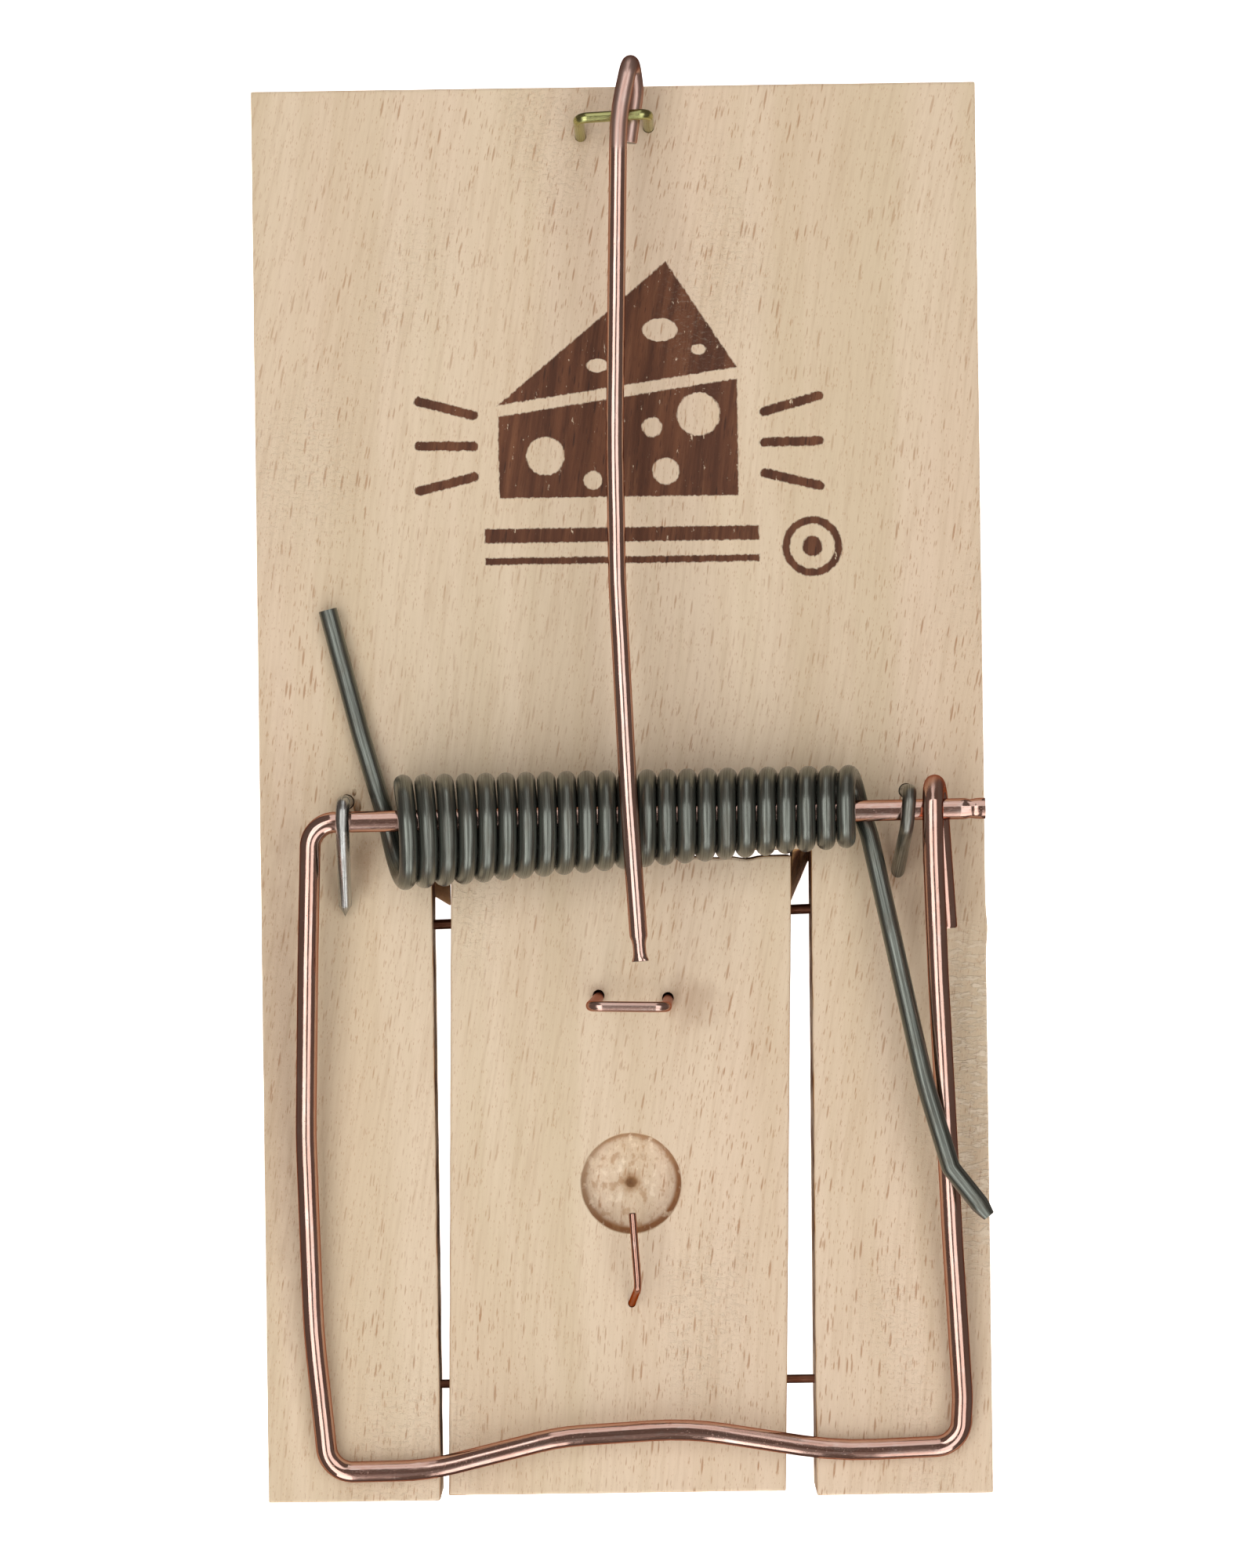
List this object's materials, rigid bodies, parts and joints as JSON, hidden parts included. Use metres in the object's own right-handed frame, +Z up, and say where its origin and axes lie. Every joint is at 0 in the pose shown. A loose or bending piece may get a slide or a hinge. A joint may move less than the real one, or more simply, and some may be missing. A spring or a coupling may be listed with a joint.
{
  "type": "snap rodent trap",
  "caption": "Wooden snap trap: sawn beech base with a rocking treadle, coil-sprung wire bow, long holding rod, catch staple and bait recess.",
  "frame": {"origin": "centre of the base board's underside", "axes": "+Z up, +Y along the board towards the holding rod's staple, +X to the right seen from above with the rod's staple at the far end"},
  "size_m": [0.0874, 0.1729, 0.03],
  "materials": {
    "base_board_beech": "bare sawn beech, eased edges",
    "treadle_beech": "bare sawn beech with burnished recess wall",
    "snap_bow_coppered": "copper-coated steel wire",
    "torsion_spring_steel": "dark drawn spring wire, satin",
    "holding_rod_coppered": "copper-coated steel wire, drawn bright",
    "catch_staple_coppered": "copper-coated steel wire",
    "bait_wire_coppered": "copper-coated steel wire",
    "rod_staple_chromated": "olive-yellow chromated zinc plating",
    "axle_staple_left_steel": "bright steel, hammered",
    "axle_staple_right_steel": "bright steel, hammered and worn",
    "pivot_nail_left_steel": "plain wire nail, dulled",
    "pivot_nail_right_steel": "plain wire nail, dulled",
    "stop_nail_left_steel": "plain wire nail, dulled",
    "stop_nail_right_steel": "plain wire nail, dulled"
  },
  "bodies": {
    "base": {"base_board": "base_board_beech", "pivot_nail_left": "pivot_nail_left_steel", "pivot_nail_right": "pivot_nail_right_steel", "stop_nail_left": "stop_nail_left_steel", "stop_nail_right": "stop_nail_right_steel", "axle_staple_left": "axle_staple_left_steel", "axle_staple_right": "axle_staple_right_steel", "rod_staple": "rod_staple_chromated", "torsion_spring": "torsion_spring_steel"},
    "treadle": {"treadle": "treadle_beech", "catch_staple": "catch_staple_coppered", "bait_wire": "bait_wire_coppered"},
    "bow": {"snap_bow": "snap_bow_coppered"},
    "rod": {"holding_rod": "holding_rod_coppered"}
  },
  "joints": [
    {"name": "bow_swing", "type": "hinge", "parent": "base", "child": "bow", "pos_m": [0, -0.003, 0.01925], "axis": [-1, 0, 0], "range_deg": [0, 170], "stiffness_Nm_per_rad": 0.4, "springref_deg": -60.16, "deforming": ["torsion_spring"]},
    {"name": "rod_lift", "type": "hinge", "parent": "base", "child": "rod", "pos_m": [0.0015, 0.0807, 0.0182], "axis": [-1, 0, 0], "range_deg": [0, 40]},
    {"name": "treadle_tilt", "type": "hinge", "parent": "base", "child": "treadle", "pos_m": [0, -0.0151, 0.006], "axis": [-0.9996, -0.028, 0], "range_deg": [0, 1.8]}
  ]
}
